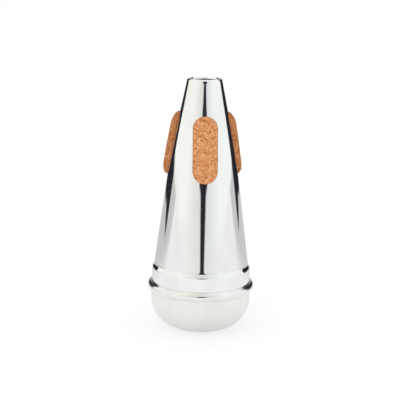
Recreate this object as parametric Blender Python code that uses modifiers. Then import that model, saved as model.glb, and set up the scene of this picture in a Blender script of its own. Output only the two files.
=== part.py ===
"""Straight trumpet mute: a spun aluminium cone, a domed end cap rolled onto it, and three glued cork pads.

Units are metres. +Z runs along the mute's axis, from the flat under the end cap up to the open mouth.
The mute stands on its end cap, and one cork pad faces -Y.
"""

import math

import bmesh
import bpy
from mathutils import Matrix, Vector

# The whole mute, and the sheet that it is spun from.
HEIGHT = 0.142
WALL = 0.0010
CLEARANCE = 0.0003  # kept between pieces that touch on the real mute

# The cone has two tapers that run into one another over a long soft bend.
MOUTH_RADIUS = 0.00972  # outside, where the rounded lip begins
UPPER_TAPER = 0.205  # growth of the radius for each metre down the cone
LOWER_TAPER = 0.135
BEND_HEIGHT = 0.0991
BEND_LENGTH = 0.040

# The mouth's edge is folded inwards once and rounded over.
LIP_THICKNESS = 0.0022
LIP_DEPTH = 0.0050
LIP_RADIUS = LIP_THICKNESS / 2
LIP_HEIGHT = HEIGHT - LIP_RADIUS

# Below the cone a shoulder steps out to a short collar.
SHOULDER_TOP = 0.0375
SHOULDER_BOTTOM = 0.0348
COLLAR_RADIUS = 0.02772

# The seam bead: the cap's rim curls round the rolled hem at the collar's lower edge.
BEAD_HEIGHT = 0.02474
BEAD_CENTRE_RADIUS = 0.02714
BEAD_CENTRE = (BEAD_CENTRE_RADIUS, BEAD_HEIGHT)
BEAD_ROUND = 0.00287
BEAD_END = 61.0  # degrees above the horizontal, where the curl stops just short of the collar
CURL_INNER_ROUND = BEAD_ROUND - WALL
HEM_ROUND = CURL_INNER_ROUND - CLEARANCE

# The end cap is a bowl: a flat to stand on, and a quarter ellipse up to a straight wall.
CAP_RADIUS = 0.02808
FLAT_RADIUS = 0.0095
BOWL_HEIGHT = 0.0172

# The pads are cut from sheet cork, lie along the cone's slope and are stuck on with an adhesive film.
PAD_LENGTH = 0.0362
PAD_WIDTH = 0.0132
PAD_CENTRE_HEIGHT = 0.1043
CORK_THICKNESS = 0.0030
FILM_THICKNESS = 0.0003
FILM_INSET = 0.0004  # the film stops this far inside the pad's edge
PAD_AZIMUTHS = {"front": -90, "right": 30, "left": 150}  # degrees round +Z, counted from +X

# How finely round shapes are divided.
FACETS = 60  # round the axis; 3 and 4 both divide it, so the pads and the outer box stay symmetric
ROUND_STEP = 18.0  # degrees between the points of the bead, the hem and the lip
PAD_END_STEP = 15.0  # degrees between the points of a pad's round end
BOWL_POINTS = 9
BEND_POINTS = 6
SHOULDER_POINTS = 6
SLEEVE_POINTS = 9

# A pad is cut from a sleeve round the cone, so the sleeve is longer than the pad and the cutter is deeper.
SLEEVE_LENGTH = PAD_LENGTH * 1.25
PUNCH_DEPTH = 0.030


def clear_scene():
    """Empties the file, whatever it was started from."""
    for old in list(bpy.data.objects):
        bpy.data.objects.remove(old)


def new_collection(name):
    """A collection of its own in the scene."""
    collection = bpy.data.collections.new(name)
    bpy.context.scene.collection.children.link(collection)
    return collection


def material(name, colour, roughness, metallic):
    """A Principled BSDF material of one colour."""
    made = bpy.data.materials.new(name)
    made.use_nodes = True
    shader = made.node_tree.nodes["Principled BSDF"]
    shader.inputs["Base Color"].default_value = (*colour, 1.0)
    shader.inputs["Roughness"].default_value = roughness
    shader.inputs["Metallic"].default_value = metallic
    made.diffuse_color = (*colour, 1.0)
    return made


def even_steps(start, end, count):
    """Evenly spaced values from start to end, both included."""
    return [start + (end - start) * i / (count - 1) for i in range(count)]


def arc(centre, radius, start, end, step):
    """Points along a round stretch, with angles in degrees from the outward direction."""
    count = max(2, round(abs(end - start) / step) + 1)
    points = []
    for angle in even_steps(math.radians(start), math.radians(end), count):
        points.append((centre[0] + radius * math.cos(angle), centre[1] + radius * math.sin(angle)))
    return points


def cone_radius(height):
    """The cone's outside radius: the upper taper, less what the softened bend takes off it lower down."""
    below = BEND_HEIGHT - height
    half = BEND_LENGTH / 2
    if below <= -half:
        softened = 0.0
    elif below >= half:
        softened = below
    else:
        softened = (below + half) ** 2 / (2 * BEND_LENGTH)
    return MOUTH_RADIUS + UPPER_TAPER * (LIP_HEIGHT - height) - (UPPER_TAPER - LOWER_TAPER) * softened


def cone_slope(height):
    """How much the radius grows for each metre down the cone, measured over a millimetre."""
    reach = 0.0005
    return (cone_radius(height - reach) - cone_radius(height + reach)) / (2 * reach)


def off_cone(height, distance):
    """The point at that distance off the cone's surface, square to it."""
    slope = cone_slope(height)
    length = math.hypot(1.0, slope)
    return (cone_radius(height) + distance / length, height + distance * slope / length)


def cone_heights():
    """Heights of the cone's rings below the lip: none on the straight tapers, a few in the bend."""
    bend_top = BEND_HEIGHT + BEND_LENGTH / 2
    bend_bottom = BEND_HEIGHT - BEND_LENGTH / 2
    return even_steps(bend_top, bend_bottom, BEND_POINTS) + [SHOULDER_TOP]


def shoulder_points(inset):
    """The step from the cone out to the collar, an S: hollow where it leaves the cone, then rounded."""
    points = []
    for share in even_steps(0.0, 1.0, SHOULDER_POINTS)[1:]:
        height = SHOULDER_TOP + (SHOULDER_BOTTOM - SHOULDER_TOP) * share
        across = share * share * (3 - 2 * share)
        radius = cone_radius(height) + (COLLAR_RADIUS - cone_radius(height)) * across
        points.append((radius - inset, height))
    return points


def round_angle(radius, round_radius):
    """Degrees from the outward direction at which a round about the bead's centre reaches a radius."""
    return math.degrees(math.acos((radius - BEAD_CENTRE_RADIUS) / round_radius))


def cone_body_profile():
    """The closed outline of the cone's wall, from the lip down the outside and back up the inside."""
    outside = [(cone_radius(height), height) for height in [LIP_HEIGHT] + cone_heights()]
    outside += shoulder_points(0.0)

    # The collar's lower edge is rolled outwards into a hem, from the collar's outside to its bore.
    hem_start = round_angle(COLLAR_RADIUS, HEM_ROUND)
    hem_end = -round_angle(COLLAR_RADIUS - WALL, HEM_ROUND)
    outside += arc(BEAD_CENTRE, HEM_ROUND, hem_start, hem_end, ROUND_STEP)

    inside = list(reversed(shoulder_points(WALL)))
    inside += [(cone_radius(height) - WALL, height) for height in reversed(cone_heights())]

    # The fold at the mouth doubles the wall, and a half round closes it at the top.
    fold_bottom = LIP_HEIGHT - LIP_DEPTH
    inside.append((cone_radius(fold_bottom) - WALL, fold_bottom))
    inside.append((cone_radius(fold_bottom) - LIP_THICKNESS, fold_bottom))
    lip = arc((MOUTH_RADIUS - LIP_RADIUS, LIP_HEIGHT), LIP_RADIUS, 180, 0, ROUND_STEP)
    return outside + inside + lip[:-1]


def bowl_points(inset):
    """The bowl from its straight wall down to the flat, inset by the wall's thickness for its inside."""
    reach = CAP_RADIUS - FLAT_RADIUS - inset
    drop = BOWL_HEIGHT - inset
    points = []
    for turn in even_steps(0.0, math.pi / 2, BOWL_POINTS):
        points.append((FLAT_RADIUS + reach * math.cos(turn), BOWL_HEIGHT - drop * math.sin(turn)))
    return points


def end_cap_profile():
    """The cap's outline from the curl's free edge, down the outside to the axis and back up the inside."""
    # Both rounds of the curl end where they meet the wall below.
    outer_end = -round_angle(CAP_RADIUS, BEAD_ROUND)
    inner_end = -round_angle(CAP_RADIUS - WALL, CURL_INNER_ROUND)
    outside = arc(BEAD_CENTRE, BEAD_ROUND, BEAD_END, outer_end, ROUND_STEP)
    outside += bowl_points(0.0)
    outside.append((0.0, 0.0))
    inside = [(0.0, WALL)] + list(reversed(bowl_points(WALL)))
    inside += arc(BEAD_CENTRE, CURL_INNER_ROUND, inner_end, BEAD_END, ROUND_STEP)
    return outside + inside


def turned(name, points, finish, collection):
    """A turned piece: an outline at +X, carried round the axis by a Screw modifier.

    Where the outline touches the axis it is left open, or a wall would be made along the axis.
    """
    mesh = bpy.data.meshes.new(name)
    edges = []
    for i, point in enumerate(points):
        following = (i + 1) % len(points)
        if point[0] > 0.0 or points[following][0] > 0.0:
            edges.append((i, following))
    mesh.from_pydata([(radius, 0.0, height) for radius, height in points], edges, [])
    mesh.materials.append(finish)
    piece = bpy.data.objects.new(name, mesh)
    collection.objects.link(piece)

    screw = piece.modifiers.new("turn", "SCREW")
    screw.axis = "Z"
    screw.angle = 2 * math.pi
    screw.steps = FACETS
    screw.render_steps = FACETS
    screw.use_merge_vertices = True
    screw.merge_threshold = 0.00001
    screw.use_smooth_shade = True
    return piece


def sleeve_profile(inner_distance, outer_distance):
    """The closed outline of a sleeve that lies off the cone between two distances."""
    top = PAD_CENTRE_HEIGHT + SLEEVE_LENGTH / 2
    bottom = PAD_CENTRE_HEIGHT - SLEEVE_LENGTH / 2
    heights = even_steps(top, bottom, SLEEVE_POINTS)
    outer = [off_cone(height, outer_distance) for height in heights]
    inner = [off_cone(height, inner_distance) for height in reversed(heights)]
    return outer + inner


def pad_outline(inset):
    """A straight strip with round ends, its long way along X."""
    end_radius = PAD_WIDTH / 2 - inset
    end_centre = (PAD_LENGTH - PAD_WIDTH) / 2
    outline = arc((end_centre, 0.0), end_radius, -90, 90, PAD_END_STEP)
    outline += arc((-end_centre, 0.0), end_radius, 90, 270, PAD_END_STEP)
    return outline


def onto_cone():
    """Places an outline on the cone at +X: its X runs up the slope and its Z out of the surface."""
    slope = cone_slope(PAD_CENTRE_HEIGHT)
    out = Vector((1.0, 0.0, slope)).normalized()
    up = Vector((-slope, 0.0, 1.0)).normalized()
    turn = Matrix((up, out.cross(up), out)).transposed().to_4x4()
    return Matrix.Translation((cone_radius(PAD_CENTRE_HEIGHT), 0.0, PAD_CENTRE_HEIGHT)) @ turn


def pad_punch(name, inset, collection):
    """A cutter with the pad's outline, drawn as a flat curve and made a closed mesh."""
    outline = pad_outline(inset)
    curve = bpy.data.curves.new(name, "CURVE")
    curve.dimensions = "2D"
    curve.fill_mode = "BOTH"
    curve.extrude = PUNCH_DEPTH / 2
    spline = curve.splines.new("POLY")
    spline.points.add(len(outline) - 1)
    for point, (along, across) in zip(spline.points, outline):
        point.co = (along, across, 0.0, 1.0)
    spline.use_cyclic_u = True
    drawn = bpy.data.objects.new(name + "_outline", curve)
    collection.objects.link(drawn)
    bpy.context.view_layer.update()

    solid = drawn.evaluated_get(bpy.context.evaluated_depsgraph_get())
    mesh = bpy.data.meshes.new_from_object(solid)
    bpy.data.objects.remove(drawn)
    mesh.transform(onto_cone())
    welded = bmesh.new()
    welded.from_mesh(mesh)
    bmesh.ops.remove_doubles(welded, verts=welded.verts, dist=0.000001)
    bmesh.ops.recalc_face_normals(welded, faces=welded.faces)
    welded.to_mesh(mesh)
    welded.free()

    punch = bpy.data.objects.new(name, mesh)
    punch.hide_render = True
    punch.display_type = "WIRE"
    collection.objects.link(punch)
    return punch


def cut_layer(name, span, inset, finish, axis, parts, cutters):
    """One layer of a pad: a sleeve that spans two distances off the cone, cut to the pad's outline."""
    layer = turned(name, sleeve_profile(*span), finish, parts)
    punch = pad_punch("punch_" + name, inset, cutters)
    layer.parent = axis
    punch.parent = axis
    cut = layer.modifiers.new("outline", "BOOLEAN")
    cut.operation = "INTERSECT"
    cut.solver = "EXACT"
    cut.object = punch


def glued_pad(place, azimuth, finishes, parts, cutters):
    """A cork pad and the film under it, on an empty that turns them to their place round the axis."""
    axis = bpy.data.objects.new("pad_axis_" + place, None)
    axis.rotation_euler.z = math.radians(azimuth)
    parts.objects.link(axis)

    film_span = (CLEARANCE, CLEARANCE + FILM_THICKNESS)
    cork_start = film_span[1] + CLEARANCE
    cork_span = (cork_start, cork_start + CORK_THICKNESS)
    cut_layer("pad_adhesive_" + place, film_span, FILM_INSET, finishes["adhesive"], axis, parts, cutters)
    cut_layer("cork_pad_" + place, cork_span, 0.0, finishes["cork"], axis, parts, cutters)


def main():
    """Builds the two shells and the three pads."""
    clear_scene()
    parts = new_collection("trumpet_mute")
    cutters = new_collection("cutters")
    finishes = {
        "cone": material("polished_aluminium", (0.86, 0.87, 0.87), 0.12, 1.0),
        "cap": material("satin_aluminium", (0.84, 0.84, 0.82), 0.28, 1.0),
        "cork": material("cork", (0.68, 0.36, 0.16), 0.85, 0.0),
        "adhesive": material("adhesive_film", (0.55, 0.42, 0.25), 0.45, 0.0),
    }
    turned("cone_body", cone_body_profile(), finishes["cone"], parts)
    turned("end_cap", end_cap_profile(), finishes["cap"], parts)
    for place, azimuth in PAD_AZIMUTHS.items():
        glued_pad(place, azimuth, finishes, parts, cutters)
    bpy.context.view_layer.update()


main()
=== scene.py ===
# %% [markdown]
# # A straight trumpet mute in spun aluminium and cork
#
# The mute is a hollow cone, spun from aluminium sheet and polished. A domed cap is rolled onto its wide
# end in a bead, and three cork pads grip the inside of a trumpet's bell. The construction is already
# packed: this lesson loads it as a fixed frame, and makes the fine surfaces and finishes that go over it.

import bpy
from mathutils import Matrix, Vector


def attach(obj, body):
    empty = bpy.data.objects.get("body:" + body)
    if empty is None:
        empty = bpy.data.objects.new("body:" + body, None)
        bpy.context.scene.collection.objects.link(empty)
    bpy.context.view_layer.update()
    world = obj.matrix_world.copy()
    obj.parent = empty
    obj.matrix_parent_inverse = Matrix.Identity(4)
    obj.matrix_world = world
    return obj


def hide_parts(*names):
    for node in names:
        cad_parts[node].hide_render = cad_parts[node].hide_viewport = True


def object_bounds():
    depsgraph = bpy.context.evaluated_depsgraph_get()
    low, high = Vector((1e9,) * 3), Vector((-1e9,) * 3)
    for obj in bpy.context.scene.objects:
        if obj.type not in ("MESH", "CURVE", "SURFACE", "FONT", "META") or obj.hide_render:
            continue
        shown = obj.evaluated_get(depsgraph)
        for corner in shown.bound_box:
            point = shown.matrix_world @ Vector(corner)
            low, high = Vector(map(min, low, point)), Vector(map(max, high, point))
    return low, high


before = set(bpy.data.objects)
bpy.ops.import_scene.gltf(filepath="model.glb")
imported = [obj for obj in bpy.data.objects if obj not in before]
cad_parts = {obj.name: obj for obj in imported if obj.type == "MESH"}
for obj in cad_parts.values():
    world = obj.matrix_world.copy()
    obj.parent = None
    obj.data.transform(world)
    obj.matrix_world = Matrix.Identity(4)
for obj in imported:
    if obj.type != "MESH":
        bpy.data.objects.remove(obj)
cad_low, cad_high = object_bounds()
print("nodes in the frame:", ", ".join(sorted(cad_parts)))
print("CAD box in mm:", [round(1000 * (high - low), 2) for low, high in zip(cad_low, cad_high)])

# %% Import the modelling tools
import itertools
import math

import bmesh
import bpy
import numpy as np
from mathutils import Matrix, Vector

print("Blender", bpy.app.version_string)

# %% [markdown]
# ## The camera
#
# The camera stands where the photographer's did: about 65 cm away, 12 degrees above the mute's middle and
# a few degrees to the left of the front pad. The picture leans by about one degree, so the camera is
# rolled by that much. It could be aimed with a Track To constraint. A matrix built from three directions
# was chosen, because the roll then turns just two of them.

# %% Place the camera
CAMERA_DISTANCE = 0.6487
CAMERA_AZIMUTH = math.radians(-3.4)
CAMERA_ELEVATION = math.radians(11.9)
CAMERA_ROLL = math.radians(1.16)
AIM_HEIGHT = 0.0716
IMAGE_WIDTH = 400  # pixels, square
FOCAL_LENGTH = 1152.2  # pixels
PICTURE_MIDDLE = (202.26, 203.34)  # the pixel where the aim point falls
SENSOR_WIDTH = 36.0  # millimetres
NEAREST_SEEN = 0.01


def camera_matrix():
    """Back is the unit vector from the aim point to the lens, right is level, and up is back x right.
    Right and up are then turned about back by the roll."""
    level = math.cos(CAMERA_ELEVATION)
    back = Vector((
        math.sin(CAMERA_AZIMUTH) * level,
        -math.cos(CAMERA_AZIMUTH) * level,
        math.sin(CAMERA_ELEVATION),
    ))
    right = Vector((math.cos(CAMERA_AZIMUTH), math.sin(CAMERA_AZIMUTH), 0.0))
    up = back.cross(right)
    rolled_right = right * math.cos(CAMERA_ROLL) + up * math.sin(CAMERA_ROLL)
    rolled_up = up * math.cos(CAMERA_ROLL) - right * math.sin(CAMERA_ROLL)
    turn = Matrix((rolled_right, rolled_up, back)).transposed().to_4x4()
    return Matrix.Translation(Vector((0.0, 0.0, AIM_HEIGHT)) + back * CAMERA_DISTANCE) @ turn


lens = bpy.data.cameras.new("camera")
lens.sensor_width = SENSOR_WIDTH
lens.lens = FOCAL_LENGTH / IMAGE_WIDTH * SENSOR_WIDTH
lens.shift_x = (IMAGE_WIDTH / 2 - PICTURE_MIDDLE[0]) / IMAGE_WIDTH
lens.shift_y = (PICTURE_MIDDLE[1] - IMAGE_WIDTH / 2) / IMAGE_WIDTH
lens.clip_start = NEAREST_SEEN
camera = bpy.data.objects.new("camera", lens)
camera.matrix_world = camera_matrix()
bpy.context.scene.collection.objects.link(camera)
bpy.context.scene.camera = camera
bpy.context.scene.view_settings.view_transform = "Standard"
print("lens in mm:", round(lens.lens, 1), "camera at", [round(v, 3) for v in camera.location])

# %% [markdown]
# ## The driving sizes
#
# The cone's radius grows in two tapers that run into one another over a long soft bend, and then steps out
# to the collar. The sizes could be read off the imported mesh. Named values in metres were chosen, because a
# reader can change them, and only the height comes from the frame.

# %% Name the driving sizes
HEIGHT = cad_high.z
MOUTH_RADIUS = 0.00972
UPPER_TAPER = 0.205
LOWER_TAPER = 0.135
BEND_HEIGHT = 0.0991
BEND_LENGTH = 0.040
LIP_THICKNESS = 0.0022
LIP_RADIUS = LIP_THICKNESS / 2
LIP_HEIGHT = HEIGHT - LIP_RADIUS  # where the middle of the round edge lies
SHOULDER_TOP = 0.0375
SHOULDER_BOTTOM = 0.0348
COLLAR_RADIUS = 0.02772
print("mute height in mm:", round(1000 * HEIGHT, 2))

# %% Work out the cone's radius
def cone_radius(height):
    """Mouth radius + upper taper x depth below the lip - (upper - lower taper) x softened depth below the
    bend. The softened depth is zero above the bend, the plain depth below it, and a parabola between."""
    below = BEND_HEIGHT - height
    half = BEND_LENGTH / 2
    inside = (np.clip(below, -half, half) + half) ** 2 / (2 * BEND_LENGTH)
    softened = inside + np.maximum(below - half, 0.0)
    return MOUTH_RADIUS + UPPER_TAPER * (LIP_HEIGHT - height) - (UPPER_TAPER - LOWER_TAPER) * softened


def cone_taper(height):
    """Growth of the radius for each metre down: it eases from the upper to the lower taper in the bend."""
    share = np.clip((BEND_HEIGHT - height) / BEND_LENGTH + 0.5, 0.0, 1.0)
    return UPPER_TAPER - (UPPER_TAPER - LOWER_TAPER) * share


def wall_radius(height):
    """Outside radius of cone, shoulder and collar: the cone's radius blends into the collar's by the
    share s squared x (3 - 2 s), where s runs from 0 at the shoulder's top to 1 at its bottom."""
    share = np.clip((SHOULDER_TOP - height) / (SHOULDER_TOP - SHOULDER_BOTTOM), 0.0, 1.0)
    ease = share**2 * (3 - 2 * share)
    return cone_radius(height) * (1 - ease) + COLLAR_RADIUS * ease


sampled = wall_radius(np.array([0.14, 0.10, 0.06]))
print("cone radius in mm at heights of 140, 100 and 60 mm:", np.round(1000 * sampled, 2))

# %% [markdown]
# ## Turned surfaces from a profile
#
# Both metal shells are spun on a lathe, so each is a profile carried round the axis. Blender's Screw
# modifier could do that. Here the whole grid is one numpy array: rows follow the profile and columns go
# round. Points that fall together, as on the axis, are merged, and a shell whose signed volume is
# negative has its faces turned over, so that they all point outwards.

# %% Define the grid helpers
ROUND_COLUMNS = 256
MERGE_DISTANCE = 1e-7
SHARP_ANGLE = math.radians(42)


def arc(centre, radius, start, end, count):
    """Points on a circle: centre + radius x (cosine, sine) of evenly spaced angles from start to end."""
    angle = np.linspace(start, end, count)
    return np.stack([centre[0] + radius * np.cos(angle), centre[1] + radius * np.sin(angle)], axis=1)


def column_of(radius, height):
    """Pairs of radius and height, one of which may be a single number."""
    return np.stack(np.broadcast_arrays(radius, height), axis=1).astype(float)


def turned_points(profile):
    """Each pair (radius, height) becomes a ring: x = radius x cosine, y = radius x sine, z = height."""
    angle = np.arange(ROUND_COLUMNS) * (2 * np.pi / ROUND_COLUMNS)
    x = profile[:, :1] * np.cos(angle)
    y = profile[:, :1] * np.sin(angle)
    z = np.broadcast_to(profile[:, 1:], x.shape)
    return np.stack([x, y, z], axis=-1)


def grid_faces(rows, columns, rows_close):
    """Four-sided faces between neighbouring rows and columns. The columns close round, and so do the
    rows where the profile is itself a loop."""
    steps = rows if rows_close else rows - 1
    row, column = np.meshgrid(np.arange(steps), np.arange(columns), indexing="ij")
    next_row = (row + 1) % rows
    next_column = (column + 1) % columns
    corners = [
        row * columns + column,
        row * columns + next_column,
        next_row * columns + next_column,
        next_row * columns + column,
    ]
    return np.stack(corners, axis=-1).reshape(-1, 4)


def surface_piece(name, points, rows_close, values=None):
    """A closed smooth object from a grid of points with the shape (rows, columns, 3). Values are numbers
    for each point, kept as attributes that a material can read."""
    rows, columns = points.shape[:2]
    mesh = bpy.data.meshes.new(name)
    mesh.from_pydata(points.reshape(-1, 3).tolist(), [], grid_faces(rows, columns, rows_close).tolist())
    for title, numbers in (values or {}).items():
        attribute = mesh.attributes.new(title, "FLOAT", "POINT")
        attribute.data.foreach_set("value", np.ravel(numbers).astype(np.float32))
    work = bmesh.new()
    work.from_mesh(mesh)
    bmesh.ops.remove_doubles(work, verts=work.verts, dist=MERGE_DISTANCE)
    if work.calc_volume(signed=True) < 0:
        bmesh.ops.reverse_faces(work, faces=work.faces)
    open_edges = sum(1 for edge in work.edges if not edge.is_manifold)
    volume = work.calc_volume(signed=True)
    work.to_mesh(mesh)
    work.free()
    mesh.shade_smooth()
    mesh.set_sharp_from_angle(angle=SHARP_ANGLE)
    made = bpy.data.objects.new(name, mesh)
    bpy.context.scene.collection.objects.link(made)
    print(f"{name}: {len(mesh.polygons)} faces, {open_edges} open edges, {1e6 * volume:.3f} cubic cm")
    return made


print("each ring has", ROUND_COLUMNS, "points")

# %% [markdown]
# ## The spun cone
#
# The cone is one sheet. Its mouth edge is folded in once and rounded. At the wide end it steps out over a
# shoulder to a short collar, whose lower edge is a rolled hem inside the bead. A Solidify modifier could
# give the wall its thickness, but the folded lip and the hem are thicker than the wall. So the profile
# here is a closed loop: over the lip, down the outside, round the hem, and up the inside.

# %% Trace the cone's profile
WALL = 0.0010
LIP_DEPTH = 0.0050
LIP_CORNER = 0.0006
BEAD_HEIGHT = 0.02474
BEAD_CENTRE_RADIUS = 0.02714
BEAD_ROUND = 0.00287
HEM_GAP = 0.0003  # keeps the hem clear of the curl
HEM_ROUND = BEAD_ROUND - WALL - HEM_GAP
LIP_POINTS = 17
WALL_POINTS = 90
SHOULDER_POINTS = 22
COLLAR_POINTS = 8
HEM_POINTS = 36
INSIDE_POINTS = 70
FOLD_CORNER_POINTS = 7
FOLD_POINTS = 8


def cone_profile():
    """Radius and height along the loop, in the order of the paragraph above. The hem's arc starts and ends
    where its circle meets the collar's outside and bore: cosine = (radius - centre radius) / hem round."""
    lip_centre = (MOUTH_RADIUS - LIP_RADIUS, LIP_HEIGHT)
    lip = arc(lip_centre, LIP_RADIUS, math.pi, 0.0, LIP_POINTS)
    down = np.linspace(LIP_HEIGHT, SHOULDER_TOP, WALL_POINTS)[1:]
    over = np.linspace(SHOULDER_TOP, SHOULDER_BOTTOM, SHOULDER_POINTS)[1:]
    bore = COLLAR_RADIUS - WALL
    hem_start = math.acos((COLLAR_RADIUS - BEAD_CENTRE_RADIUS) / HEM_ROUND)
    hem_end = math.acos((bore - BEAD_CENTRE_RADIUS) / HEM_ROUND) - 2 * math.pi
    hem = arc((BEAD_CENTRE_RADIUS, BEAD_HEIGHT), HEM_ROUND, hem_start, hem_end, HEM_POINTS)
    collar = np.linspace(SHOULDER_BOTTOM, hem[0, 1], COLLAR_POINTS)[1:-1]
    fold_height = LIP_HEIGHT - LIP_DEPTH
    inside = np.linspace(hem[-1, 1], fold_height, INSIDE_POINTS)[1:]
    fold_radius = wall_radius(fold_height) - LIP_THICKNESS
    corner_centre = (fold_radius + LIP_CORNER, fold_height + LIP_CORNER)
    corner = arc(corner_centre, LIP_CORNER, -math.pi / 2, -math.pi, FOLD_CORNER_POINTS)
    fold = np.linspace(fold_height + LIP_CORNER, LIP_HEIGHT, FOLD_POINTS)[1:-1]
    stretches = [
        lip,
        column_of(wall_radius(down), down),
        column_of(wall_radius(over), over),
        column_of(COLLAR_RADIUS, collar),
        hem,
        column_of(wall_radius(inside) - WALL, inside),
        corner,
        column_of(wall_radius(fold) - LIP_THICKNESS, fold),
    ]
    return np.concatenate(stretches)


spun_cone = surface_piece("spun_cone", turned_points(cone_profile()), rows_close=True)

# %% [markdown]
# ## The rolled cap
#
# The cap is a bowl with a small flat to stand on. Its rim curls out and over the hem and makes the bead. It
# could be one profile with the cone, but the real cap is a sheet of its own, so it is its own shell here.
# The profile starts on the axis under the flat and ends on the axis inside the bowl, so both poles close.

# %% Trace the cap's profile
BEAD_END = math.radians(61.0)
CAP_RADIUS = 0.02808
FLAT_RADIUS = 0.0095
BOWL_HEIGHT = 0.0172
BOWL_POINTS = 44
CURL_POINTS = 26
RIM_POINTS = 7
CAP_WALL_POINTS = 8
FLAT_POINTS = 5


def bowl(inset):
    """A quarter ellipse from the flat's edge to the straight wall, moved inwards and up by the inset:
    radius = flat + (wall - flat) x sine, height = inset + (bowl height - inset) x (1 - cosine)."""
    turn = np.linspace(0.0, math.pi / 2, BOWL_POINTS)
    radius = FLAT_RADIUS + (CAP_RADIUS - inset - FLAT_RADIUS) * np.sin(turn)
    height = inset + (BOWL_HEIGHT - inset) * (1 - np.cos(turn))
    return column_of(radius, height)


def cap_profile():
    """Radius and height from the outer pole, over the curl's rounded rim, to the inner pole. The curl's
    arcs start where their circles meet the wall: cosine = (wall radius - centre radius) / round."""
    centre = (BEAD_CENTRE_RADIUS, BEAD_HEIGHT)
    inner_round = BEAD_ROUND - WALL
    outer_start = -math.acos((CAP_RADIUS - BEAD_CENTRE_RADIUS) / BEAD_ROUND)
    inner_start = -math.acos((CAP_RADIUS - WALL - BEAD_CENTRE_RADIUS) / inner_round)
    outer_curl = arc(centre, BEAD_ROUND, outer_start, BEAD_END, CURL_POINTS)
    inner_curl = arc(centre, inner_round, BEAD_END, inner_start, CURL_POINTS)
    middle_round = BEAD_ROUND - WALL / 2
    rim_centre = (
        BEAD_CENTRE_RADIUS + middle_round * math.cos(BEAD_END),
        BEAD_HEIGHT + middle_round * math.sin(BEAD_END),
    )
    rim = arc(rim_centre, WALL / 2, BEAD_END, BEAD_END + math.pi, RIM_POINTS)[1:-1]
    outside = bowl(0.0)
    inside = bowl(WALL)[::-1]
    up_outside = np.linspace(BOWL_HEIGHT, outer_curl[0, 1], CAP_WALL_POINTS)[1:-1]
    down_inside = np.linspace(inner_curl[-1, 1], BOWL_HEIGHT, CAP_WALL_POINTS)[1:-1]
    outer_wall = column_of(CAP_RADIUS, up_outside)
    inner_wall = column_of(CAP_RADIUS - WALL, down_inside)
    under = column_of(np.linspace(0.0, FLAT_RADIUS, FLAT_POINTS)[:-1], 0.0)
    floor_inside = column_of(np.linspace(FLAT_RADIUS, 0.0, FLAT_POINTS)[1:], WALL)
    stretches = [under, outside, outer_wall, outer_curl, rim, inner_curl, inner_wall, inside, floor_inside]
    return np.concatenate(stretches)


rolled_cap = surface_piece("rolled_cap", turned_points(cap_profile()), rows_close=False)

# %% [markdown]
# ## Cork from grains
#
# Sheet cork is pressed from granules about a millimetre across, each a little higher or lower than the
# next, with fine cracks between them. A bump map could fake that, but the outline of the pads is grainy
# too. So the grains are computed: space is cut into cells, each cell holds one grain centre at a scattered
# place, and a point belongs to the nearest centre. Where the two nearest are equally far there is a crack.

# %% Scatter the grains
GRAIN_SIZE = 0.00105
FINE_GRAIN_SIZE = 0.00060
CRACK_SHARE = 0.16  # of the grain's size
OWN_SEED = 5.0  # sets a grain's own number apart from its place
SCATTER_TURNS = np.array([[127.1, 311.7, 74.7], [269.5, 183.3, 246.1], [113.5, 271.9, 124.6]])
SCATTER_GAIN = 43758.5453


def scatter(cells, seed):
    """Three numbers from 0 to 1 for each cell: the fraction left of a large number x the sine of a
    weighted sum of the cell's whole numbers."""
    return np.mod(np.sin(cells @ SCATTER_TURNS + seed) * SCATTER_GAIN, 1.0)


def grains(points, size, seed):
    """For each point: the nearest grain's own number from 0 to 1, and how open the crack is there, which
    is the bell curve of (second nearest distance - nearest distance) / crack width."""
    cell = np.floor(points / size)
    nearest = np.full(len(points), np.inf)
    second = np.full(len(points), np.inf)
    own = np.zeros(len(points))
    for step in itertools.product((-1, 0, 1), repeat=3):
        neighbour = cell + np.array(step)
        centre = (neighbour + scatter(neighbour, seed)) * size
        distance = np.linalg.norm(points - centre, axis=1)
        closer = distance < nearest
        second = np.where(closer, nearest, np.minimum(second, distance))
        own = np.where(closer, scatter(neighbour, seed + OWN_SEED)[:, 0], own)
        nearest = np.where(closer, distance, nearest)
    crack = np.exp(-(((second - nearest) / (CRACK_SHARE * size)) ** 2))
    return own, crack


print("grain sizes in mm:", 1000 * GRAIN_SIZE, 1000 * FINE_GRAIN_SIZE)

# %% [markdown]
# ## The pads and their adhesive
#
# A pad is a strip with round ends, cut from the sheet and bent round the cone. A flat strip with a Simple
# Deform modifier could be bent, but its underside wouldn't follow a taper that changes. So its surface is a
# grid too: columns go round the outline, and rows run from the middle of the underside, out, up the cut
# edge, over a slightly worn corner, and in to the middle of the top. Each point is then carried onto the
# cone.

# %% Lay out a pad
PAD_LENGTH = 0.0366
PAD_WIDTH = 0.0136
HALF_RUN = (PAD_LENGTH - PAD_WIDTH) / 2
PAD_CORNER_POINTS = 6
UNDERSIDE_POINTS = 10


def pad_columns(step):
    """Round the outline: the place of the round end's centre along the pad, and the direction from it.
    The two ends are half circles, and the two sides slide the centre from one end to the other."""
    turns = round(math.pi * PAD_WIDTH / 2 / step)
    runs = round(2 * HALF_RUN / step)
    half_turn = np.linspace(0.0, np.pi, turns, endpoint=False)
    slide = np.linspace(HALF_RUN, -HALF_RUN, runs, endpoint=False)
    centre = np.concatenate([np.full(turns, HALF_RUN), slide, np.full(turns, -HALF_RUN), -slide])
    angle = np.concatenate([half_turn, np.full(runs, np.pi), half_turn + np.pi, np.zeros(runs)])
    return centre, angle


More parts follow.
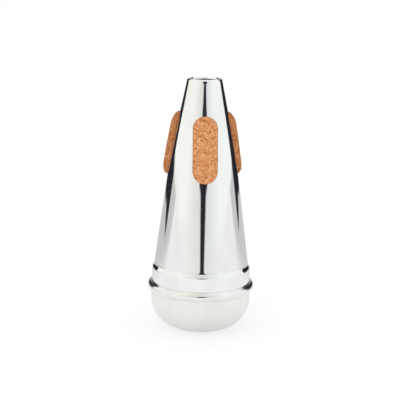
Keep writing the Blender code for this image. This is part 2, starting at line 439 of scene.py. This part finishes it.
def pad_rows(low, high, inset, corner, step):
    """Radius of the outline, distance off the cone, and the outward direction in that plane, from the
    middle underneath to the middle on top. The corner is a quarter circle."""
    full = PAD_WIDTH / 2 - inset
    side = max(2, round((high - low - corner) / step))
    top = max(2, round((full - corner) / step))
    bend = np.linspace(0.0, np.pi / 2, PAD_CORNER_POINTS)
    under = np.linspace(0.0, full, UNDERSIDE_POINTS)
    rise = np.linspace(low, high - corner, side + 1)[1:-1]
    inwards = np.linspace(full - corner, 0.0, top + 1)[1:]
    radius = np.concatenate([
        under, np.full(len(rise), full), full - corner + corner * np.cos(bend), inwards])
    off = np.concatenate([
        np.full(len(under), low), rise, high - corner + corner * np.sin(bend), np.full(len(inwards), high)])
    out = np.concatenate([np.zeros(len(under)), np.ones(len(rise)), np.cos(bend), np.zeros(len(inwards))])
    up = np.concatenate([
        np.zeros(len(under)), np.zeros(len(rise)), np.sin(bend), np.ones(len(inwards))])
    return radius, off, out, up


print("pad outline in mm:", round(1000 * PAD_LENGTH, 2), "by", round(1000 * PAD_WIDTH, 2))

# %% Carry it onto the cone
PAD_CENTRE_HEIGHT = 0.1044
PAD_SLOPE = math.atan(float(cone_taper(PAD_CENTRE_HEIGHT)))


def onto_cone(along, across, off, azimuth):
    """Foot = pad centre + along x cosine of the slope. Radius and height are the cone's there, plus the
    distance off it times the cosine and sine of the slope. Across stays, and the depth is the root of
    radius squared - across squared. The whole is then turned to the pad's azimuth."""
    foot = PAD_CENTRE_HEIGHT + along * math.cos(PAD_SLOPE)
    slope = np.arctan(cone_taper(foot))
    radius = cone_radius(foot) + off * np.cos(slope)
    depth = np.sqrt(radius**2 - across**2)
    x = depth * math.cos(azimuth) - across * math.sin(azimuth)
    y = depth * math.sin(azimuth) + across * math.cos(azimuth)
    return np.stack([x, y, foot + off * np.sin(slope)], axis=-1)


print("the pads lean in by", round(math.degrees(PAD_SLOPE), 1), "degrees")

# %% Make the cork pads
PAD_AZIMUTHS = {"front": -90.0, "right": 30.0, "left": 150.0}
PAD_STEP = 0.00020
CORK_LOW = 0.00035
CORK_HIGH = 0.0039
CORK_CORNER = 0.0006
GRAIN_LIFT = 0.00012
CRACK_DEPTH = 0.00012
FINE_LIFT = 0.00005
END_SINK = 0.0013  # the ends are sanded down by this much at their tips
GRAIN_WEIGHT = 0.62  # of the large grains in the colour, and the fine grains have the rest
FINE_CRACK_WEIGHT = 0.6
FINE_SEED = 1.7
PAD_SEED_STEP = 10.0


def sanded(along, off):
    """Off less the sink x how high the point lies in the sheet x the square of its share of the way from
    the round end's centre to its tip."""
    tip_share = np.clip((np.abs(along) - HALF_RUN) / (PAD_WIDTH / 2), 0.0, 1.0)
    height_share = (off - CORK_LOW) / (CORK_HIGH - CORK_LOW)
    return off - END_SINK * height_share * tip_share**2


def cork_pad(place, azimuth, seed):
    """The plain pad's points, each pushed outwards by lift x (grain number - a half) - depth x crack + fine
    lift x (fine grain number - a half). The ends are then sanded, and the whole is bent onto the cone."""
    centre, angle = pad_columns(PAD_STEP)
    radius, off, out, up = (
        part[:, None] for part in pad_rows(CORK_LOW, CORK_HIGH, 0.0, CORK_CORNER, PAD_STEP))
    across = radius * np.cos(angle)
    along = centre + radius * np.sin(angle)
    sheet = np.stack(np.broadcast_arrays(along, across, off), axis=-1)
    own, crack = grains(sheet.reshape(-1, 3), GRAIN_SIZE, seed)
    fine, fine_crack = grains(sheet.reshape(-1, 3), FINE_GRAIN_SIZE, seed + FINE_SEED)
    push = GRAIN_LIFT * (own - 0.5) - CRACK_DEPTH * crack + FINE_LIFT * (fine - 0.5)
    push = push.reshape(sheet.shape[:2])
    grown = radius + out * push
    length = centre + grown * np.sin(angle)
    height = sanded(length, off + up * push)
    points = onto_cone(length, grown * np.cos(angle), height, math.radians(azimuth))
    values = {
        "grain": GRAIN_WEIGHT * own + (1 - GRAIN_WEIGHT) * fine,
        "crack": np.maximum(crack, FINE_CRACK_WEIGHT * fine_crack),
        "cut_edge": np.broadcast_to(out, sheet.shape[:2]),
    }
    return surface_piece(f"cork_{place}", points, rows_close=False, values=values)


corks = {}
for number, (place, azimuth) in enumerate(PAD_AZIMUTHS.items()):
    corks[place] = cork_pad(place, azimuth, PAD_SEED_STEP * number)

# %% [markdown]
# The adhesive is a film a third of a millimetre thick that the pad hides, apart from a thin brown line at
# its edge. A Solidify modifier on a flat outline would do, but the film has to follow the cone as the pad
# does, so it is the pad's own grid again, made thin and set in a little.

# %% Make the adhesive films
FILM_CORNER = 0.0001
FILM_INSET = 0.00025
FILM_HIGH = 0.00033
FILM_LOW = 0.00003
FILM_STEP = 0.0006


def adhesive_film(place, azimuth):
    """The same grid as a pad's, thin, and set in a little from the pad's edge: the pad's rows between the
    film's two distances off the cone, carried onto the cone by the same formula."""
    centre, angle = pad_columns(FILM_STEP)
    radius, off, _, _ = (
        part[:, None] for part in pad_rows(FILM_LOW, FILM_HIGH, FILM_INSET, FILM_CORNER, FILM_STEP))
    length = centre + radius * np.sin(angle)
    points = onto_cone(length, radius * np.cos(angle), off, math.radians(azimuth))
    return surface_piece(f"adhesive_{place}", points, rows_close=False)


films = {}
for place, azimuth in PAD_AZIMUTHS.items():
    films[place] = adhesive_film(place, azimuth)

# %% [markdown]
# ## Shader helpers
#
# Every finish is a node tree. It could be clicked together in the Shader Editor, but in code it can be read
# and made again. Small functions keep the trees short: for sums, soft steps, mixed colours, noise and bumps.
# A brown is written as it looks on a screen, from 0 to 255, and turned into the linear light that the
# shader wants.

# %% Define the shader helpers
def on_screen(red, green, blue):
    """Linear colour: ((value / 255 + 0.055) / 1.055) to the power 2.4, for each of the three."""
    shares = (np.array([red, green, blue]) / 255 + 0.055) / 1.055
    return (*(shares**2.4).tolist(), 1.0)


def feed(tree, socket, value):
    """Links a socket to another, or sets it to a plain value."""
    if isinstance(value, bpy.types.NodeSocket):
        tree.links.new(value, socket)
    else:
        socket.default_value = value


def sums(tree, operation, first, second=0.0, third=0.0):
    """One Math node on up to three values."""
    node = tree.nodes.new("ShaderNodeMath")
    node.operation = operation
    for socket, value in zip(node.inputs, (first, second, third)):
        feed(tree, socket, value)
    return node.outputs[0]


def soft_step(tree, value, start, end, low=0.0, high=1.0):
    """Goes smoothly from low to high while the value goes from start to end."""
    node = tree.nodes.new("ShaderNodeMapRange")
    node.interpolation_type = "SMOOTHSTEP"
    for socket, number in zip(node.inputs, (value, start, end, low, high)):
        feed(tree, socket, number)
    return node.outputs[0]


def mixed(tree, share, first, second, blend="MIX"):
    """One Mix node, whose colours are in sockets 6 and 7: the first at share 0 and the second at share 1."""
    node = tree.nodes.new("ShaderNodeMix")
    node.data_type = "RGBA"
    node.blend_type = blend
    feed(tree, node.inputs[0], share)
    feed(tree, node.inputs[6], first)
    feed(tree, node.inputs[7], second)
    return node.outputs[2]


def grain_noise(tree, stretch, detail=2.0):
    """Noise on Object coordinates. Stretch is the number of waves in a metre along x, y and z."""
    place = tree.nodes.new("ShaderNodeTexCoord")
    mapping = tree.nodes.new("ShaderNodeMapping")
    mapping.inputs["Scale"].default_value = stretch
    noise = tree.nodes.new("ShaderNodeTexNoise")
    noise.inputs["Scale"].default_value = 1.0
    noise.inputs["Detail"].default_value = detail
    tree.links.new(place.outputs["Object"], mapping.inputs["Vector"])
    tree.links.new(mapping.outputs["Vector"], noise.inputs["Vector"])
    return noise.outputs[0]


def new_finish(name):
    """A node material, and its tree and Principled shader."""
    made = bpy.data.materials.new(name)
    made.use_nodes = True
    return made, made.node_tree, made.node_tree.nodes["Principled BSDF"]


def bump(tree, height, distance, strength=1.0):
    """The normal of a surface whose height is the given value times the distance, in metres."""
    node = tree.nodes.new("ShaderNodeBump")
    node.inputs["Strength"].default_value = strength
    node.inputs["Distance"].default_value = distance
    tree.links.new(height, node.inputs["Height"])
    return node.outputs[0]


print("white on screen is", on_screen(255, 255, 255))

# %% [markdown]
# ## Polished spun aluminium
#
# Spinning leaves fine rings round the metal, and polishing leaves it almost a mirror with a faint haze.
# An anisotropic shader could stretch the highlights. Here thin rings of slightly different roughness and
# a bump of a few thousandths of a millimetre do it, because they also show from close by. The cap is
# polished a little less than the cone, and the inside is left as it came off the lathe.

# %% Make the metal finishes
RINGS = (12.0, 12.0, 1500.0)  # waves in a metre along x, y and z
BROAD_RINGS = (25.0, 25.0, 160.0)
BROAD_HEIGHT = 3.0  # times the fine rings' height
SMEARS = (90.0, 90.0, 45.0)
RING_HAZE = 0.6
SMEAR_HAZE = 0.4
NOISE_SPAN = (0.3, 0.7)  # where most of a noise's values lie
SMEAR_SPAN = (0.35, 0.75)
SMEAR_SHADE = 0.94


def spun_metal(name, colour, smooth, rough, ring_height):
    """Metal whose roughness runs from smooth to rough by rings and smears, with ring-shaped bumps."""
    made, tree, shader = new_finish(name)
    fine = grain_noise(tree, RINGS)
    broad = grain_noise(tree, BROAD_RINGS)
    smear = grain_noise(tree, SMEARS, detail=4.0)
    haze = sums(tree, "MULTIPLY_ADD", fine, RING_HAZE, sums(tree, "MULTIPLY", smear, SMEAR_HAZE))
    feed(tree, shader.inputs["Roughness"], soft_step(tree, haze, *NOISE_SPAN, smooth, rough))
    darker = tuple(SMEAR_SHADE * part for part in colour[:3]) + (1.0,)
    feed(tree, shader.inputs["Base Color"], mixed(tree, soft_step(tree, smear, *SMEAR_SPAN), colour, darker))
    height = sums(tree, "MULTIPLY_ADD", broad, BROAD_HEIGHT, fine)
    feed(tree, shader.inputs["Normal"], bump(tree, height, ring_height))
    shader.inputs["Metallic"].default_value = 1.0
    return made


cone_finish = spun_metal(
    "cone_polished", (0.915, 0.925, 0.915, 1.0), smooth=0.045, rough=0.085, ring_height=0.0000006)
cap_finish = spun_metal(
    "cap_polished", (0.89, 0.89, 0.87, 1.0), smooth=0.10, rough=0.17, ring_height=0.0000010)
bore_finish = spun_metal(
    "bore_as_spun", (0.55, 0.55, 0.53, 1.0), smooth=0.28, rough=0.42, ring_height=0.0000040)
print("metal finishes:", cone_finish.name, cap_finish.name, bore_finish.name)

# %% [markdown]
# Each shell is one mesh with two finishes, so each face needs to know which side it is on. Two meshes would
# do it too, but then neither would be a closed shell. The height and radius of a face's middle tell.

# %% Put the metal finishes on
BORE_SHARE = 0.7  # of the wall
LIP_ZONE = 0.002  # below the middle of the round edge


def dress_shell(shell, outside, outside_radius):
    """The outside finish, and the bore finish on each face whose middle lies more than the bore's share
    of the wall inside the outside radius at its height."""
    mesh = shell.data
    mesh.materials.append(outside)
    mesh.materials.append(bore_finish)
    middle = np.empty(3 * len(mesh.polygons))
    mesh.polygons.foreach_get("center", middle)
    middle = middle.reshape(-1, 3)
    radius = np.hypot(middle[:, 0], middle[:, 1])
    inner = radius < outside_radius(middle[:, 2]) - BORE_SHARE * WALL
    mesh.polygons.foreach_set("material_index", inner.astype(np.int32))
    mesh.update()
    print(f"{shell.name}: {int(inner.sum())} of {len(inner)} faces are the bore")


def cone_outside(height):
    """The wall's radius below the lip. On the lip and in the bead every face counts as outside."""
    on_wall = (height < LIP_HEIGHT - LIP_ZONE) & (height > BEAD_HEIGHT + BEAD_ROUND)
    return np.where(on_wall, wall_radius(height), 0.0)


def cap_outside(height):
    """The bowl's radius at a height, from its ellipse, and nothing in the bead."""
    share = np.sqrt(np.maximum(0.0, 1 - (1 - np.clip(height / BOWL_HEIGHT, 0, 1)) ** 2))
    bowl_radius = FLAT_RADIUS + (CAP_RADIUS - FLAT_RADIUS) * share
    above_flat = np.where(height > WALL / 2, bowl_radius, 0.0)
    return np.where(height < BEAD_HEIGHT - BEAD_ROUND, above_flat, 0.0)


dress_shell(spun_cone, cone_finish, cone_outside)
dress_shell(rolled_cap, cap_finish, cap_outside)

# %% [markdown]
# ## Cork and adhesive finishes
#
# The pad's own attributes say which grain a point belongs to, how near a crack is, and whether it is on
# the cut edge. A colour ramp turns the grain's number into one of the browns of cork. The cut edge is
# darker in colour: that is painted shade, for the pads' sides that the light reaches less. A Voronoi
# texture could draw grains too, but they wouldn't be the ones that the mesh has.

# %% Make the cork finish
CORK_BROWNS = [
    (0.00, (120, 66, 34)),
    (0.10, (168, 102, 58)),
    (0.28, (206, 138, 88)),
    (0.50, (222, 154, 101)),
    (0.72, (231, 166, 114)),
    (0.90, (242, 186, 136)),
    (1.00, (248, 204, 160)),
]
CRACK_BROWN = (150, 90, 48)
CRACK_STRENGTH = 0.42
# painted shade: the cut edge's colour is darkened to stand in for the shade on the pads' sides
CUT_EDGE_PAINTED_SHADE = (0.74, 0.66, 0.62, 1.0)
PORES = (2600.0, 2600.0, 2600.0)
PORE_SHARE = 0.36
PORE_DEPTH = 0.00008
PORE_STRENGTH = 0.7
CORK_ROUGHNESS = (0.72, 0.92)
CORK_SHINE = 0.25
WHITE = (1.0, 1.0, 1.0, 1.0)


def piece_value(tree, title):
    """One of the piece's own attributes."""
    node = tree.nodes.new("ShaderNodeAttribute")
    node.attribute_name = title
    return node.outputs["Fac"]


def cork_material():
    """Grain number -> brown, darkened in the cracks, with painted shade on the cut edge, and pores as bump.
    """
    made, tree, shader = new_finish("pressed_cork")
    ramp = tree.nodes.new("ShaderNodeValToRGB")
    while len(ramp.color_ramp.elements) < len(CORK_BROWNS):
        ramp.color_ramp.elements.new(0.5)
    for element, (position, brown) in zip(ramp.color_ramp.elements, CORK_BROWNS):
        element.position = position
        element.color = on_screen(*brown)
    pores = grain_noise(tree, PORES, detail=3.0)
    speckle = sums(tree, "MULTIPLY_ADD", pores, PORE_SHARE, -PORE_SHARE / 2)
    number = sums(tree, "ADD", piece_value(tree, "grain"), speckle)
    feed(tree, ramp.inputs[0], number)
    crack = sums(tree, "MULTIPLY", piece_value(tree, "crack"), CRACK_STRENGTH)
    cracked = mixed(tree, crack, ramp.outputs[0], on_screen(*CRACK_BROWN))
    # painted shade on the cut edge
    edge = mixed(tree, piece_value(tree, "cut_edge"), WHITE, CUT_EDGE_PAINTED_SHADE)
    feed(tree, shader.inputs["Base Color"], mixed(tree, 1.0, cracked, edge, "MULTIPLY"))
    feed(tree, shader.inputs["Roughness"], soft_step(tree, pores, *NOISE_SPAN, *CORK_ROUGHNESS))
    feed(tree, shader.inputs["Normal"], bump(tree, pores, PORE_DEPTH, PORE_STRENGTH))
    shader.inputs["Specular IOR Level"].default_value = CORK_SHINE
    return made


cork_finish = cork_material()
for pad in corks.values():
    pad.data.materials.append(cork_finish)
print("cork on", ", ".join(pad.name for pad in corks.values()))

# %% [markdown]
# The adhesive is contact cement: a dull brown film. One colour would do for a line this thin, but close by
# a real film is blotchy, so noise mixes two browns and moves the gloss a little.

# %% Make the adhesive finish
BLOTCHES = (900.0, 900.0, 900.0)
ADHESIVE_BROWNS = (on_screen(120, 84, 52), on_screen(158, 116, 76))
ADHESIVE_ROUGHNESS = (0.45, 0.65)


def adhesive_material():
    """A dull brown film, a little uneven in colour and gloss."""
    made, tree, shader = new_finish("adhesive_film")
    blotches = grain_noise(tree, BLOTCHES)
    feed(tree, shader.inputs["Base Color"], mixed(tree, blotches, *ADHESIVE_BROWNS))
    feed(tree, shader.inputs["Roughness"], soft_step(tree, blotches, *NOISE_SPAN, *ADHESIVE_ROUGHNESS))
    return made


adhesive_finish = adhesive_material()
for film in films.values():
    film.data.materials.append(adhesive_finish)
print("adhesive on", ", ".join(film.name for film in films.values()))

# %% [markdown]
# ## The studio that the metal mirrors
#
# Polished metal looks like what stands round it. Here that is a light tent: white panels at both sides that
# are a little dimmer towards the lens, a dark gap in front with the camera in it, dark openings behind the
# panels, between them a grey backdrop with a dark strip along its foot, and a light table that ends half a
# metre behind the mute. Cards and panels could be modelled. A world that depends on the direction gives the
# same mirror image with no objects in the way. Only glossy rays see it, which are nearly all the metal's,
# and all others see plain white.

# %% Measure directions and the dark gap
SLIT_AZIMUTH = 2.5  # degrees to the right of the camera
SLIT_WIDTHS = [  # degrees above the horizon, and the half width there
    (-5, 4.6),
    (0.3, 4.8),
    (1.8, 6.1),
    (3.2, 7.5),
    (4.3, 8.5),
    (5.6, 13),
    (15, 13),
    (16, 9),
    (17.2, 7),
    (22, 0),
]
SLIT_SOFTNESS = 1.4


def direction_angles(tree, x, y):
    """Azimuth in degrees to the right of the camera's side, kept from -180 to 180, of the direction whose
    x and y are given: the angle whose tangent is x over -y."""
    world = sums(tree, "DEGREES", sums(tree, "ARCTAN2", x, sums(tree, "MULTIPLY", y, -1.0)))
    return sums(tree, "WRAP", sums(tree, "SUBTRACT", world, math.degrees(CAMERA_AZIMUTH)), 180.0, -180.0)


def slit_share(tree, azimuth, elevation):
    """1 inside the dark gap and 0 outside. Its half width follows a curve over the elevation, and the
    curve node takes the elevation's share of the whole range in its socket 1."""
    lowest, highest = SLIT_WIDTHS[0][0], SLIT_WIDTHS[-1][0]
    widest = max(width for _, width in SLIT_WIDTHS)
    node = tree.nodes.new("ShaderNodeFloatCurve")
    line = node.mapping.curves[0]
    for height, width in SLIT_WIDTHS[1:-1]:
        line.points.new((height - lowest) / (highest - lowest), width / widest)
    line.points[0].location = (0.0, SLIT_WIDTHS[0][1] / widest)
    line.points[len(line.points) - 1].location = (1.0, SLIT_WIDTHS[-1][1] / widest)
    for point in line.points:
        point.handle_type = "VECTOR"
    node.mapping.update()
    span = sums(tree, "DIVIDE", sums(tree, "SUBTRACT", elevation, lowest), highest - lowest)
    feed(tree, node.inputs[1], span)
    half_width = sums(tree, "MULTIPLY", node.outputs[0], widest)
    distance = sums(tree, "ABSOLUTE", sums(tree, "SUBTRACT", azimuth, SLIT_AZIMUTH))
    past = sums(tree, "SUBTRACT", distance, half_width)
    return soft_step(tree, past, -SLIT_SOFTNESS, SLIT_SOFTNESS, 1.0, 0.0)


print("the gap is up to", 2 * max(width for _, width in SLIT_WIDTHS), "degrees wide")

# %% Build the light tent
LEFT_PANEL_END = 125.0  # degrees from the camera's side, as are the next two
RIGHT_PANEL_END = 119.0
OPENING_END = 165.0
OPENING_TOP = 35.0  # degrees above the horizon
OPENING_SOFTNESS = 2.0
LOW_STRIP_TOP = 2.6
BACKDROP_TOP = 32.0
BACKDROP_FADE = 12.0
BACKDROP_DIM = 0.55
PANEL_DIM = 0.80
PANEL_LEVEL = 1.0
PANEL_DIM_SPAN = (6.0, 62.0)
TINT_SPAN = 25.0
LEFT_TINT = (1.0, 1.0, 0.955, 1.0)
RIGHT_TINT = (0.98, 1.0, 0.995, 1.0)
DARK = (0.020, 0.020, 0.027, 1.0)
WORLD_LEVEL = 1.0


def light_tent():
    """The world: white for every ray but glossy ones, which see panels, openings, backdrop and gap."""
    world = bpy.data.worlds.new("light_tent")
    world.use_nodes = True
    tree = world.node_tree
    place = tree.nodes.new("ShaderNodeTexCoord")
    split = tree.nodes.new("ShaderNodeSeparateXYZ")
    tree.links.new(place.outputs["Generated"], split.inputs[0])
    azimuth = direction_angles(tree, split.outputs[0], split.outputs[1])
    elevation = sums(tree, "DEGREES", sums(tree, "ARCSINE", split.outputs[2]))
    aside = sums(tree, "ABSOLUTE", azimuth)
    soft = OPENING_SOFTNESS
    past_left = soft_step(tree, azimuth, -LEFT_PANEL_END - soft, -LEFT_PANEL_END + soft, 1.0, 0.0)
    past_right = soft_step(tree, azimuth, RIGHT_PANEL_END - soft, RIGHT_PANEL_END + soft)
    past_panel = sums(tree, "MAXIMUM", past_left, past_right)
    past_opening = soft_step(tree, aside, OPENING_END - soft, OPENING_END + soft)
    under_top = soft_step(tree, elevation, OPENING_TOP - soft, OPENING_TOP + soft, 1.0, 0.0)
    under_strip = soft_step(tree, elevation, LOW_STRIP_TOP - soft, LOW_STRIP_TOP + soft, 1.0, 0.0)
    opening = sums(tree, "MULTIPLY", past_panel, sums(tree, "SUBTRACT", 1.0, past_opening))
    opening = sums(tree, "MULTIPLY", opening, under_top)
    strip = sums(tree, "MULTIPLY", past_opening, under_strip)
    slit = slit_share(tree, azimuth, elevation)
    dark = sums(tree, "MAXIMUM", sums(tree, "MAXIMUM", opening, strip), slit)
    level = soft_step(tree, aside, *PANEL_DIM_SPAN, PANEL_DIM, PANEL_LEVEL)
    backdrop = soft_step(tree, elevation, BACKDROP_TOP - BACKDROP_FADE, BACKDROP_TOP, BACKDROP_DIM, 1.0)
    backdrop = sums(tree, "MAXIMUM", backdrop, sums(tree, "SUBTRACT", 1.0, past_opening))
    level = sums(tree, "MULTIPLY", level, backdrop)
    tint = mixed(tree, soft_step(tree, azimuth, -TINT_SPAN, TINT_SPAN), LEFT_TINT, RIGHT_TINT)
    grey = tree.nodes.new("ShaderNodeCombineColor")
    for socket in grey.inputs[:3]:
        feed(tree, socket, level)
    panels = mixed(tree, 1.0, tint, grey.outputs[0], "MULTIPLY")
    mirrored = mixed(tree, dark, panels, DARK)
    path = tree.nodes.new("ShaderNodeLightPath")
    seen = mixed(tree, path.outputs["Is Glossy Ray"], WHITE, mirrored)
    background = tree.nodes["Background"]
    background.inputs["Strength"].default_value = WORLD_LEVEL
    tree.links.new(seen, background.inputs["Color"])
    return world


bpy.context.scene.world = light_tent()
print("the panels end", LEFT_PANEL_END, "degrees to the left and", RIGHT_PANEL_END, "to the right")

# %% [markdown]
# ## The floor
#
# The mute stands on a plain white floor that runs out of the picture, so that no edge shows. The camera
# sees it mostly as plain white, and by a share as a lit surface, which keeps the mute's shadow. In the
# metal it is the light table: dimmer behind the mute, which is painted shade for the light falling off
# there, and dark past its back and side edges. A backdrop that curves up behind would do as well, but it
# would stand in the way of views from behind.

# %% Make the floor's finish
TABLE_HALF_WIDTH = 0.55
TABLE_BACK = 0.50
TABLE_FRONT = -0.45
SHADOW_SHARE = 0.3
GLOW_SHARE = 0.4  # how much of the table's light in the metal is its own
# the table's levels in the metal, front and back: the drop to the back is painted shade
TABLE_FRONT_WHITE = 0.92
TABLE_BACK_WHITE = 0.60
TABLE_DIM_SPAN = (0.0, 0.2)
EDGE_SOFTNESS = 0.02
OPENING_SLOPE = 0.45  # metres back for each metre aside, where the panels end


def floor_material():
    """White, and for glossy rays the light table: dimmer towards the back, which is painted shade, dark past
    its edges, and dark in front where the camera stands."""
    made, tree, shader = new_finish("white_floor")
    tree.nodes.remove(shader)
    place = tree.nodes.new("ShaderNodeTexCoord")
    split = tree.nodes.new("ShaderNodeSeparateXYZ")
    tree.links.new(place.outputs["Object"], split.inputs[0])
    x, y = split.outputs[0], split.outputs[1]
    aside = sums(tree, "ABSOLUTE", x)
    soft = EDGE_SOFTNESS
    past_side = soft_step(tree, aside, TABLE_HALF_WIDTH - soft, TABLE_HALF_WIDTH + soft)
    past_back = soft_step(tree, y, TABLE_BACK - soft, TABLE_BACK + soft)
    behind = sums(tree, "SUBTRACT", y, sums(tree, "MULTIPLY", aside, OPENING_SLOPE))
    off_table = sums(tree, "MAXIMUM", past_side, past_back)
    off_table = sums(tree, "MULTIPLY", off_table, soft_step(tree, behind, -soft, soft))
    azimuth = direction_angles(tree, x, y)
    distance = sums(tree, "ABSOLUTE", sums(tree, "SUBTRACT", azimuth, SLIT_AZIMUTH))
    stand_width = SLIT_WIDTHS[0][1]
    stand = soft_step(tree, distance, stand_width - SLIT_SOFTNESS, stand_width + SLIT_SOFTNESS, 1.0, 0.0)
    stand = sums(tree, "MULTIPLY", stand, soft_step(tree, y, TABLE_FRONT - soft, TABLE_FRONT, 1.0, 0.0))
    # painted shade: the table dims towards the back, standing in for less light falling there
    white = soft_step(tree, y, *TABLE_DIM_SPAN, TABLE_FRONT_WHITE, TABLE_BACK_WHITE)
    table = tree.nodes.new("ShaderNodeCombineColor")
    for socket in table.inputs[:3]:
        feed(tree, socket, white)
    mirrored = mixed(tree, sums(tree, "MAXIMUM", off_table, stand), table.outputs[0], DARK)
    path = tree.nodes.new("ShaderNodeLightPath")
    colour = mixed(tree, path.outputs["Is Glossy Ray"], WHITE, mirrored)
    matt = tree.nodes.new("ShaderNodeBsdfDiffuse")
    feed(tree, matt.inputs["Color"], colour)
    plain = tree.nodes.new("ShaderNodeEmission")
    feed(tree, plain.inputs["Color"], colour)
    both = tree.nodes.new("ShaderNodeMixShader")
    camera_share = sums(tree, "MULTIPLY", path.outputs["Is Camera Ray"], 1 - SHADOW_SHARE)
    glow = sums(tree, "MULTIPLY_ADD", path.outputs["Is Glossy Ray"], GLOW_SHARE, camera_share)
    feed(tree, both.inputs[0], glow)
    tree.links.new(matt.outputs[0], both.inputs[1])
    tree.links.new(plain.outputs[0], both.inputs[2])
    tree.links.new(both.outputs[0], tree.nodes["Material Output"].inputs["Surface"])
    return made


floor_finish = floor_material()
print("the light table ends", TABLE_BACK, "m behind the mute")

# %% Lay the floor
FLOOR_SIZE = 40.0
FLOOR_STEPS = 8
FLOOR_DROP = 0.00005


def flat_floor():
    """A square grid at one height: evenly spaced x and y from minus to plus half the floor's size."""
    side = np.linspace(-FLOOR_SIZE / 2, FLOOR_SIZE / 2, FLOOR_STEPS + 1)
    y, x = np.meshgrid(side, side, indexing="ij")
    points = np.stack([x, y, np.full_like(x, -FLOOR_DROP)], axis=-1)
    row = FLOOR_STEPS + 1
    first = (np.arange(FLOOR_STEPS)[:, None] * row + np.arange(FLOOR_STEPS)).ravel()
    faces = np.stack([first, first + 1, first + row + 1, first + row], axis=-1)
    mesh = bpy.data.meshes.new("floor")
    mesh.from_pydata(points.reshape(-1, 3).tolist(), [], faces.tolist())
    return mesh


floor = bpy.data.objects.new("floor", flat_floor())
floor.data.materials.append(floor_finish)
bpy.context.scene.collection.objects.link(floor)
print("floor of", FLOOR_SIZE, "m,", len(floor.data.polygons), "faces")

# %% [markdown]
# ## The lamp
#
# One large soft lamp in front and above gives the cork its light side. A sun would do it with hard edges,
# so an area lamp was chosen. It is hidden from glossy rays, because the tent already holds everything that
# the metal should show.

# %% Hang the lamp
LAMP_PLACE = Vector((-0.35, -0.95, 0.85))
LAMP_SIZE = 1.0
LAMP_WATTS = 2.0

lamp_data = bpy.data.lights.new("soft_lamp", "AREA")
lamp_data.shape = "DISK"
lamp_data.size = LAMP_SIZE
lamp_data.energy = LAMP_WATTS
lamp = bpy.data.objects.new("soft_lamp", lamp_data)
lamp.location = LAMP_PLACE
lamp.rotation_euler = (Vector((0.0, 0.0, AIM_HEIGHT)) - LAMP_PLACE).to_track_quat("-Z", "Y").to_euler()
lamp.visible_glossy = False
lamp.visible_camera = False
bpy.context.scene.collection.objects.link(lamp)
print("lamp of", LAMP_WATTS, "W,", round(LAMP_PLACE.length, 2), "m away")

# %% [markdown]
# ## Tie the pieces to the frame
#
# Nothing moves on a straight mute, so every piece rides on the one body. Each takes the place of the CAD
# solid of the same part, which is hidden, and the record's material slot for its finish is printed.

# %% Ride on the body and stand for the solids
def belongs(piece, node, slot):
    """Rides on the root body, hides the CAD node it stands for, and prints its slot's name."""
    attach(piece, "root")
    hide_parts(node)
    print(f"{piece.name} stands for {node}, slot {slot}")


belongs(spun_cone, "cone_body", "cone_aluminium")
belongs(rolled_cap, "end_cap", "cap_aluminium")
for place in PAD_AZIMUTHS:
    belongs(corks[place], f"cork_pad_{place}", "cork")
    belongs(films[place], f"pad_adhesive_{place}", "adhesive")
